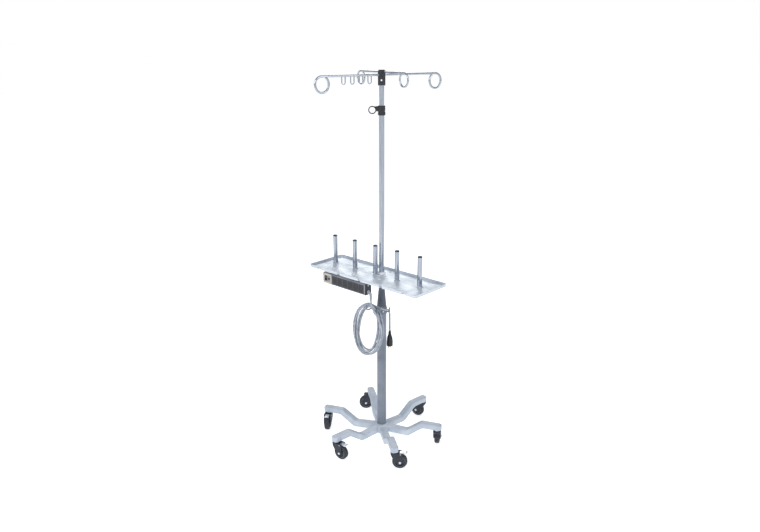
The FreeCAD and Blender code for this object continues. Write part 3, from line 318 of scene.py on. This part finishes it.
def moulded_nylon(name, tones, roughness=0.5, grit=0.8):
    """Glass-filled nylon from a spark-eroded mould: dark and fine-grained, with another tone along its edges,
    partly rubbing wear and partly painted edge light and shade.
    """
    material, shader, place = new_finish(name, roughness)
    colour, cloud = patches(material, place, 25, tones)
    grain = add(material, "ShaderNodeTexNoise", {"Vector": place, "Scale": 1 / (grit * MM), "Detail": 3.0})
    bumps = add(material, "ShaderNodeBump",
                {"Height": grain.outputs["Fac"], "Distance": 0.1 * MM, "Strength": 0.6})
    gloss = add(material, "ShaderNodeMapRange",
                {"Value": cloud, "To Min": roughness - 0.1, "To Max": roughness + 0.1})
    drive(material, shader, Base_Color=edge_wear_and_painted_light(material, colour, "#565b66", 0.8, 0.5),
          Roughness=gloss.outputs["Result"], Normal=bumps.outputs["Normal"])
    return material


def tread_rubber(name):
    """Moulded non-marking rubber: matt, with dust in its fine pores and scuffs where it rolls."""
    material, shader, place = new_finish(name, 0.8)
    colour, scuffs = patches(material, place, 9, ("#1f2127", "#3c3f46"), 6.0)
    pores = add(material, "ShaderNodeTexVoronoi", {"Vector": place, "Scale": 1 / (1.2 * MM)})
    bumps = add(material, "ShaderNodeBump",
                {"Height": pores.outputs["Distance"], "Distance": 0.1 * MM, "Strength": 0.5})
    gloss = add(material, "ShaderNodeMapRange", {"Value": scuffs, "To Min": 0.65, "To Max": 0.95})
    drive(material, shader, Base_Color=colour, Roughness=gloss.outputs["Result"],
          Normal=bumps.outputs["Normal"])
    return material


def bright_zinc(name):
    """Steel plated with zinc in a barrel: bluish silver with a fine spangle and duller patches."""
    material, shader, place = new_finish(name, 0.34, 1.0)
    spangle = add(material, "ShaderNodeTexVoronoi", {"Vector": place, "Scale": 1 / (2.5 * MM)})
    ramp = add(material, "ShaderNodeValToRGB", {"Fac": spangle.outputs["Color"]})
    ramp.color_ramp.elements[0].color = srgb("#b4bcc8")
    ramp.color_ramp.elements[1].color = srgb("#e6e9ec")
    dull = add(material, "ShaderNodeTexNoise", {"Vector": place, "Scale": 1 / (12 * MM), "Detail": 4.0})
    gloss = add(material, "ShaderNodeMapRange",
                {"Value": dull.outputs["Fac"], "From Min": 0.3, "From Max": 0.7, "To Min": 0.25,
                 "To Max": 0.5})
    drive(material, shader, Base_Color=ramp.outputs["Color"], Roughness=gloss.outputs["Result"])
    return material


def extruded_jacket(name, tones, roughness=0.55):
    """Flexible PVC, extruded over the conductors: matt and even, with faint fine marks and grime."""
    material, shader, place = new_finish(name, roughness)
    colour, grime = patches(material, place, 18, tones, 5.0)
    marks = add(material, "ShaderNodeTexNoise", {"Vector": place, "Scale": 1 / (1.5 * MM), "Detail": 2.0})
    bumps = add(material, "ShaderNodeBump",
                {"Height": marks.outputs["Fac"], "Distance": 0.08 * MM, "Strength": 0.5})
    gloss = add(material, "ShaderNodeMapRange",
                {"Value": grime, "To Min": roughness - 0.12, "To Max": roughness + 0.12})
    shader.inputs["Sheen Weight"].default_value = 0.08
    drive(material, shader, Base_Color=colour, Roughness=gloss.outputs["Result"],
          Normal=bumps.outputs["Normal"])
    return material


def woven_strap(name):
    """Hook-and-loop nylon tape, woven and napped: a crossed weave under short fuzz."""
    material, shader, place = new_finish(name, 0.85)
    turned = add(material, "ShaderNodeMapping",
                 {"Vector": place, "Rotation": (0, math.radians(TIE_ANGLE - 102), 0)})
    # The tape's yarns are 0.6 mm apart, drawn 1.2 mm apart so that they show.
    yarns = {"Vector": turned.outputs["Vector"], "Scale": 0.314 / (1.2 * MM), "Distortion": 1.5}
    warp = add(material, "ShaderNodeTexWave", yarns, bands_direction="X")
    weft = add(material, "ShaderNodeTexWave", yarns, bands_direction="Z")
    weave = add(material, "ShaderNodeMath", {0: warp.outputs["Fac"], 1: weft.outputs["Fac"]},
                operation="MULTIPLY")
    fuzz = add(material, "ShaderNodeTexNoise", {"Vector": place, "Scale": 1 / (0.7 * MM), "Detail": 6.0})
    height = add(material, "ShaderNodeMath", {0: weave.outputs["Value"], 1: fuzz.outputs["Fac"]},
                 operation="ADD")
    ramp = add(material, "ShaderNodeValToRGB", {"Fac": fuzz.outputs["Fac"]})
    ramp.color_ramp.elements[0].color = srgb("#4b5260")
    ramp.color_ramp.elements[1].color = srgb("#8d95a2")
    bumps = add(material, "ShaderNodeBump",
                {"Height": height.outputs["Value"], "Distance": 0.3 * MM, "Strength": 0.7})
    shader.inputs["Sheen Weight"].default_value = 0.4
    drive(material, shader, Base_Color=ramp.outputs["Color"], Normal=bumps.outputs["Normal"])
    return material


def make_finishes():
    """One finish for each of the record's material slots, and the ones that only some pieces use."""
    main_turn = (math.pi / 2, 0, math.radians(90 - MAIN_ROD_ANGLE))
    cross_turn = (math.pi / 2, 0, math.radians(90 - CROSS_ROD_ANGLE))
    finishes = {
        "cast_base": powder_coat("powder_coated_casting", ("#a9b3c0", "#c2cad5"), "#727d8e", 0.42),
        "column_steel": powder_coat("satin_column_coat", ("#69717e", "#7f8693"), "#474e5a", 0.34),
        "stainless": drawn_stainless("drawn_stainless_tube"),
        "tray_sheet": brushed_sheet("brushed_stainless_tray"),
        "black_fitting": moulded_nylon("black_glass_nylon", ("#15171c", "#24262c")),
        "caster_black": moulded_nylon("caster_nylon", ("#161a26", "#262b38"), 0.55),
        "wheel_centre": moulded_nylon("wheel_polypropylene", ("#3c4048", "#565b64"), 0.45),
        "tyre_rubber": tread_rubber("caster_tread_rubber"),
        "zinc": bright_zinc("barrel_plated_zinc"),
        "strip_case": powder_coat("strip_case_enamel", ("#73777f", "#8b8f96"), "#4c505a", 0.45),
        "outlet_face": moulded_nylon("outlet_thermoset", ("#1b1b20", "#2c2c31"), 0.35),
        "switch_rocker": moulded_nylon("switch_polycarbonate", ("#141418", "#222228"), 0.18, 1.5),
        "white_ring": moulded_nylon("white_acetal", ("#d9dce0", "#eef0f2"), 0.35),
        "cord_jacket": extruded_jacket("grey_cord_jacket", ("#8b929e", "#a9b0bb")),
        "plug_black": moulded_nylon("plug_vinyl", ("#15161a", "#24262b"), 0.5, 1.0),
        "blade_metal": drawn_stainless("nickel_plated_brass", (0, 0, 0), ("#cdc6b4", "#ece7da"), 0.28),
        "strap_web": woven_strap("hook_and_loop_tape"),
    }
    finishes["main_rod"] = drawn_stainless("main_rod_stainless", main_turn)
    finishes["cross_rod"] = drawn_stainless("cross_rod_stainless", cross_turn)
    # The neck under the tray is coloured darker than the column below it: painted shade for the tray's
    # shadow.
    finishes["column_neck"] = powder_coat("neck_coat_painted_shade", ("#464e5b", "#565f6c"), "#2f3540", 0.38)
    finishes["cord_hooks"] = powder_coat("coated_hook_band", ("#5f6774", "#757d89"), "#414855", 0.36)
    finishes["switch_plate"] = moulded_nylon("beige_switch_plate", ("#b3a596", "#cbbfb1"), 0.5)
    return finishes


# ---- shapes --------------------------------------------------------------------------------------

def mesh_piece(name, shape, body, finish, sharp=35):
    """Makes a piece from built faces, gives it its finish, and sets it riding on a body."""
    bmesh.ops.recalc_face_normals(shape, faces=shape.faces)
    mesh = bpy.data.meshes.new(name)
    shape.to_mesh(mesh)
    shape.free()
    mesh.shade_smooth()
    mesh.set_sharp_from_angle(angle=math.radians(sharp))
    piece = bpy.data.objects.new(name, mesh)
    bpy.context.scene.collection.objects.link(piece)
    mesh.materials.append(finish)
    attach(piece, body)
    return piece


def ring_radius(radius, turn, flats, flutes):
    """A ring's radius at an angle: round, with flats like a nut's, or fluted for grip."""
    if flats:
        step = 2 * math.pi / flats
        return radius * math.cos(step / 2) / math.cos(turn % step - step / 2)
    return radius - (0.5 * MM * (1 + math.cos(flutes * turn)) if flutes else 0)


def lathe(shape, outline, place=Matrix.Identity(4), segments=40):
    """Turns an outline of (radius, height, flats, flutes) in millimetres about Z, closed at both ends."""
    rings = []
    for radius, height, *marks in outline:
        flats, flutes = (marks + [0, 0])[:2]
        if radius == 0:
            rings.append([shape.verts.new(place @ Vector((0, 0, height * MM)))])
            continue
        ring = []
        for index in range(segments):
            turn = 2 * math.pi * index / segments
            reach = ring_radius(radius * MM, turn, flats, flutes)
            spot = Vector((reach * math.cos(turn), reach * math.sin(turn), height * MM))
            ring.append(shape.verts.new(place @ spot))
        rings.append(ring)
    join_rings(shape, rings, segments)


def join_rings(shape, rings, segments):
    """Faces between each ring of points and the next. A ring of one point makes a closed end."""
    for lower, upper in zip(rings, rings[1:]):
        for index in range(segments):
            after = (index + 1) % segments
            corners = [lower[index % len(lower)], lower[after % len(lower)],
                       upper[after % len(upper)], upper[index % len(upper)]]
            shape.faces.new(list(dict.fromkeys(corners)))


def upright(x, y, z):
    """A placement at a point whose Z axis points up."""
    return Matrix.Translation((x, y, z))


def facing(spot, direction):
    """A placement at a point whose Z axis points along a direction."""
    turn = Vector(direction).to_track_quat("Z", "Y").to_matrix().to_4x4()
    return Matrix.Translation(spot) @ turn


def rounded_slab(shape, size, place, corner, edge):
    """A slab with rounded corners and softened edges, centred on its placement, in millimetres."""
    wide, deep, thick = (length / 2 * MM for length in size)
    levels = [(-thick, edge), (-thick + edge * MM, 0), (thick - edge * MM, 0), (thick, edge)]
    rings = []
    for level, shrink in levels:
        ring = []
        for quarter in range(4):
            for part in range(5):
                turn = math.radians(quarter * 90 + part * 22.5)
                radius = (corner - shrink * 0.5) * MM
                centre_x = (wide - corner * MM - shrink * 0.5 * MM) * (1 if quarter in (0, 3) else -1)
                centre_y = (deep - corner * MM - shrink * 0.5 * MM) * (1 if quarter in (0, 1) else -1)
                spot = Vector((centre_x + radius * math.cos(turn), centre_y + radius * math.sin(turn), level))
                ring.append(shape.verts.new(place @ spot))
        rings.append(ring)
    join_rings(shape, rings, len(rings[0]))
    shape.faces.new(rings[0][::-1])
    shape.faces.new(rings[-1])


# Outlines of one unit in radius and in height, for scaled().
SOCKET_SCREW = [(0, 0), (1.0, 0), (1.0, 0.32), (0.92, 0.5), (0.72, 0.6), (0.5, 0.6, 6), (0.48, 0.2, 6),
                (0, 0.2)]
HEX_NUT = [(0, 0), (0.9, 0), (1.0, 0.1, 6), (1.0, 0.6, 6), (0.86, 0.7), (0.5, 0.7), (0.5, 0.9),
           (0.4, 1.0), (0, 1.0)]


def scaled(outline, radius, height):
    """A unit outline, brought to a radius and a height in millimetres."""
    return [(point[0] * radius, point[1] * height, *point[2:]) for point in outline]


# ---- pieces --------------------------------------------------------------------------------------

def make_cord(finishes):
    """The mains cord with its plug, its strap and the sleeve at the outlet strip."""
    points = [Vector(point) for point in LEAD_ROUTE] + coil_points() + [Vector(point) for point in TAIL_ROUTE]
    cord = smooth_line("mains_cord", points, CORD_DIAMETER)
    cord.data.materials.append(finishes["cord_jacket"])
    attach(cord, "stand")
    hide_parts("cord_lead", "cord_coil", "cord_tail")
    plug = make_plug(finishes)
    strap = make_strap(finishes)
    make_sleeve(finishes)


def make_plug(finishes):
    """A round moulded plug with a grip waist, and a ribbed tail for the cord."""
    low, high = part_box("plug_body")
    middle = (low + high) / 2
    outline = [(0, 0), (14.6, 0), (15.6, 0.8), (16, 2), (16, 8), (15.2, 9), (15.2, 10.2), (16, 11.2),
               (16, 24), (15.3, 32), (14.2, 38), (14.0, 42), (12.4, 50), (10, 56), (8.4, 60)]
    for rib in range(5):
        foot = 61 + rib * 4.4
        radius = 8.0 - rib * 0.5
        outline += [(radius - 1.3, foot), (radius - 1.3, foot + 1.2), (radius, foot + 1.8),
                    (radius - 0.1, foot + 3.6)]
    outline += [(5.2, 83.6), (4.6, 84)]
    shape = bmesh.new()
    lathe(shape, outline + [(0, 84)], upright(middle.x, middle.y, low.z), 48)
    plug = mesh_piece("plug_shell", shape, "stand", finishes["plug_black"])
    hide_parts("plug_body")
    return plug


def make_strap(finishes):
    """A tape wrapped once and a quarter round the strapped turns, with its free end lifted a little."""
    turn = math.radians(TIE_ANGLE)
    along = Vector((-COIL_HALF_WIDTH * math.sin(turn), 0, COIL_HALF_HEIGHT * math.cos(turn))).normalized()
    along.rotate(COIL_LEAN)
    outward = Vector((along.z, 0, -along.x))
    centre = oval(TIE_ANGLE, 2)
    steps = 60
    half_width = 9
    laps = 1.27
    shape = bmesh.new()
    rows = []
    for step in range(steps + 1):
        lap = step / steps * laps
        around = 2 * math.pi * (lap + 0.35)
        lift = 1.5 * max(0.0, min(1.0, (lap - 0.93) * 12))
        lift += 5 * max(0.0, lap - 1.19) ** 1.2 * 8
        squarish = 1 / (abs(math.cos(around)) ** 3 + abs(math.sin(around)) ** 3) ** (1 / 3)
        reach_out = (18.4 * squarish + lift) * math.cos(around) * MM
        reach_back = (14.6 * squarish + lift) * math.sin(around) * MM
        row = []
        for part in range(7):
            side = (part - 3) / 3
            sag = 0.5 * side * side * MM
            spot = centre + along * side * half_width * MM + outward * (reach_out - sag * math.cos(around))
            row.append(shape.verts.new(spot + Vector((0, reach_back - sag * math.sin(around), 0))))
        rows.append(row)
    for row, after in zip(rows, rows[1:]):
        for part in range(6):
            shape.faces.new([row[part], row[part + 1], after[part + 1], after[part]])
    strap = mesh_piece("cord_strap", shape, "stand", finishes["strap_web"], 60)
    thick = strap.modifiers.new("tape", "SOLIDIFY")
    thick.thickness = 1.3 * MM
    thick.offset = 0
    soft = strap.modifiers.new("soft_edges", "BEVEL")
    soft.width = 0.4 * MM
    soft.segments = 2
    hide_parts("coil_tie")
    return strap


SLEEVE_BEND = 14 * MM
SLEEVE_SEGMENTS = 32


def sleeve_station(run, wall, high):
    """A point on the sleeve's centre line and the line's direction, at a run in metres from the wall."""
    x, y, _ = LEAD_ROUTE[0]
    straight = x - SLEEVE_BEND - wall
    if run <= straight:
        return Vector((wall + run, y, high)), Vector((1, 0, 0))
    turn = min((run - straight) / SLEEVE_BEND, math.pi / 2)
    past = max(run - straight - SLEEVE_BEND * math.pi / 2, 0)
    centre = Vector((x - SLEEVE_BEND, y, high - SLEEVE_BEND))
    spot = centre + SLEEVE_BEND * Vector((math.sin(turn), 0, math.cos(turn))) - Vector((0, 0, past))
    return spot, Vector((math.cos(turn), 0, -math.sin(turn)))


def make_sleeve(finishes):
    """The angled, ribbed and tapered sleeve where the cord leaves the strip's end and turns down."""
    low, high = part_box("strain_relief")
    collar = 9.3
    level = high.z - collar * MM
    full = LEAD_ROUTE[0][0] - SLEEVE_BEND - low.x + SLEEVE_BEND * math.pi / 2 + level - SLEEVE_BEND - low.z
    stations = [(0, 0), (0, 8.8), (0.4, collar), (2.2, collar), (2.6, 8.8), (2.7, 7.0), (4, 6.8)]
    for rib in range(9):
        start = 6 + rib * 4.3
        radius = 6.8 - rib * 0.14
        stations += [(start, radius), (start + 0.5, radius - 1.1), (start + 1.6, radius - 1.1),
                     (start + 2.1, radius), (start + 3.2, radius + 0.05)]
    stations += [(full / MM - 2, 5.6), (full / MM - 0.4, 5.4), (full / MM, 5.0), (full / MM, 0)]
    shape = bmesh.new()
    rings = []
    for run, radius in stations:
        spot, ahead = sleeve_station(run * MM, low.x, level)
        side = Vector((0, 1, 0))
        lift = ahead.cross(side)
        count = SLEEVE_SEGMENTS if radius else 1
        turns = [2 * math.pi * index / count for index in range(count)]
        rings.append([shape.verts.new(spot + (side * math.cos(turn) + lift * math.sin(turn)) * radius * MM)
                      for turn in turns])
    join_rings(shape, rings, SLEEVE_SEGMENTS)
    sleeve = mesh_piece("strip_sleeve", shape, "stand", finishes["cord_jacket"])
    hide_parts("strain_relief")


def dress_strip(finishes):
    """End caps with screws, a frame round each outlet, and the plate round the switch and the button."""
    low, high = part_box("strip_housing")
    middle = (low + high) / 2
    front = (0, -1, 0)
    caps = bmesh.new()
    screws = bmesh.new()
    for x, side in ((low.x, -1), (high.x, 1)):
        rounded_slab(caps, (43, 55, 2), facing((x, middle.y, middle.z), (side, 0, 0)), 3.5, 0.6)
        for rise in (-18, 18):
            spot = (x + side * MM, middle.y, middle.z + rise * MM)
            lathe(screws, scaled(SOCKET_SCREW, 3.2, 2.4), facing(spot, (side, 0, 0)), 24)
    # Both end caps are black; at the right end that black also stands for the shade on the strip's end face,
    # a painted shade.
    mesh_piece("strip_end_caps", caps, "stand", finishes["black_fitting"])
    frames = bmesh.new()
    pitch = 36.5 * MM
    right = high.x - 26 * MM
    for index in range(6):
        x = right - index * pitch
        for rise in (21.2, -21.2):
            spot = (x, low.y, middle.z + rise * MM)
            rounded_slab(frames, (35, 2.2, 1.4), facing(spot, front), 0.9, 0.3)
        for shift in (-16.9, 16.9):
            spot = (x + shift * MM, low.y, middle.z)
            rounded_slab(frames, (1.3, 42, 1.4), facing(spot, front), 0.6, 0.3)
    mesh_piece("outlet_frames", frames, "stand", finishes["outlet_face"])
    plate = bmesh.new()
    plate_middle = -0.229
    plate_sides = (-0.2525, -0.2055)
    plate_rises = (-20.5, 20.5)
    for rise in plate_rises:
        spot = (plate_middle, low.y, middle.z + rise * MM)
        rounded_slab(plate, (52, 8, 1.2), facing(spot, front), 2, 0.3)
    for x in plate_sides:
        rounded_slab(plate, (5, 36, 1.2), facing((x, low.y, middle.z), front), 1, 0.3)
    mesh_piece("switch_plate", plate, "stand", finishes["switch_plate"])
    for x in plate_sides:
        for rise in plate_rises:
            spot = (x, low.y - 0.6 * MM, middle.z + rise * MM)
            lathe(screws, scaled(SOCKET_SCREW, 2.2, 1.6), facing(spot, front), 18)
    mesh_piece("strip_screws", screws, "stand", finishes["zinc"])


def dress_casters(finishes):
    """Axle nuts and a dust ring on each fork, spokes on each wheel, and ribs on each brake pedal."""
    stem_reach = 0.3
    axle_height = 37.5
    trail_length = 28
    for number, (leg, trail) in enumerate(zip(LEG_ANGLES, TRAIL_ANGLES), start=1):
        stem = Vector((stem_reach * math.cos(math.radians(leg)), stem_reach * math.sin(math.radians(leg)), 0))
        forward = Vector((math.cos(math.radians(trail)), math.sin(math.radians(trail)), 0))
        across = Vector((-forward.y, forward.x, 0))
        axle = stem + forward * trail_length * MM + Vector((0, 0, axle_height * MM))
        nuts = bmesh.new()
        for side in (1, -1):
            spot = axle + across * side * 19 * MM
            lathe(nuts, scaled(HEX_NUT, 6.5, 4.2), facing(spot, across * side), 24)
        mesh_piece("axle_nuts_%d" % number, nuts, "caster_%d" % number, finishes["zinc"])
        ring = bmesh.new()
        lathe(ring, [(16.2, 85.7), (18.6, 85.7), (19.2, 86.4), (19.2, 88.2), (18.2, 89.2), (17.6, 89.2),
                     (17.6, 86.6), (16.2, 86.2), (16.2, 85.7)], Matrix.Translation(stem), 40)
        mesh_piece("dust_ring_%d" % number, ring, "caster_%d" % number,
                   finishes["caster_black"])
        spokes = bmesh.new()
        for side in (1, -1):
            place = facing(axle + across * side * 4.5 * MM, across * side)
            for spoke in range(6):
                turn = Matrix.Rotation(math.radians(60 * spoke), 4, "Z")
                reach = Matrix.Translation((18.5 * MM, 0, 1.6 * MM))
                rounded_slab(spokes, (11.5, 3, 6), place @ turn @ reach, 1, 0.5)
        mesh_piece("wheel_spokes_%d" % number, spokes, "wheel_%d" % number,
                   finishes["wheel_centre"])
        if number in BRAKED_LEGS:
            ribs = bmesh.new()
            for index in range(4):
                spot = stem + forward * (44 + index * 5) * MM + Vector((0, 0, (85.9 + 0.12 * index) * MM))
                turn = Matrix.Rotation(math.radians(trail), 4, "Z")
                rounded_slab(ribs, (1.8, 18, 1.4), Matrix.Translation(spot) @ turn, 0.7, 0.3)
            mesh_piece("pedal_ribs_%d" % number, ribs, "pedal_%d" % number, finishes["zinc"])


def dress_column(finishes):
    """The welded seams at the column's foot and neck, and the clamp screws of its hook band."""
    seam = bmesh.new()
    for height, radius in ((735, 23.6), (78, 24.4)):
        lathe(seam, [(radius - 0.4, height - 2.6), (radius + 1.0, height - 1.8, 0, 60),
                     (radius + 1.5, height, 0, 60), (radius + 0.9, height + 1.8, 0, 60),
                     (radius - 0.6, height + 2.6)], segments=180)
    mesh_piece("column_welds", seam, "stand", finishes["column_steel"])
    screws = bmesh.new()
    for angle in (150, 330):
        turn = math.radians(angle)
        out = Vector((math.cos(turn), math.sin(turn), 0))
        spot = out * 26.6 * MM + Vector((0, 0, 0.713))
        lathe(screws, scaled(SOCKET_SCREW, 4, 3), facing(spot, out), 24)
    mesh_piece("band_screws", screws, "stand", finishes["zinc"])


def dress_collar(finishes):
    """A fluted grip round the collar, and a plate washer under the hook head."""
    grip = bmesh.new()
    lathe(grip, [(15.5, 1669), (17.0, 1669.6, 0, 28), (17.4, 1670.4, 0, 28), (17.4, 1679.6, 0, 28),
                 (17.0, 1680.4, 0, 28), (15.5, 1681)], segments=224)
    mesh_piece("collar_grip", grip, "stand", finishes["black_fitting"])
    washer = bmesh.new()
    lathe(washer, [(11.2, 1798.6), (15.4, 1798.6), (16, 1799.2), (16, 1800.4), (15.4, 1801), (11.2, 1801),
                   (11.2, 1798.6)], segments=48)
    mesh_piece("head_washer", washer, "head", finishes["stainless"])


def finish_frame(finishes):
    """Gives each of the frame's nodes its finish."""
    for name, node in nodes.items():
        for place in node.material_slots:
            slot = place.material.name
            place.material = finishes[name if name in finishes else slot]


def lay_floor():
    """A plain pale floor, lit softly from within so that no edge of it shows."""
    floor_mesh = bpy.data.meshes.new("studio_floor")
    shape = bmesh.new()
    bmesh.ops.create_grid(shape, x_segments=1, y_segments=1, size=30)
    shape.to_mesh(floor_mesh)
    shape.free()
    floor = bpy.data.objects.new("studio_floor", floor_mesh)
    bpy.context.scene.collection.objects.link(floor)
    material, shader, place = new_finish("pale_studio_paper", 0.9)
    shader.inputs["Emission Color"].default_value = WHITE
    shader.inputs["Emission Strength"].default_value = 0.55
    colour, _ = patches(material, place, 900, ("#f4f5f7", "#f7f8fa"))
    drive(material, shader, Base_Color=colour)
    floor_mesh.materials.append(material)


def main():
    """Lights the studio, gives the frame its finishes, and builds every piece round it."""
    set_camera()
    light_the_studio()
    finishes = make_finishes()
    finish_frame(finishes)
    make_cord(finishes)
    dress_strip(finishes)
    dress_casters(finishes)
    dress_column(finishes)
    dress_collar(finishes)
    lay_floor()


main()
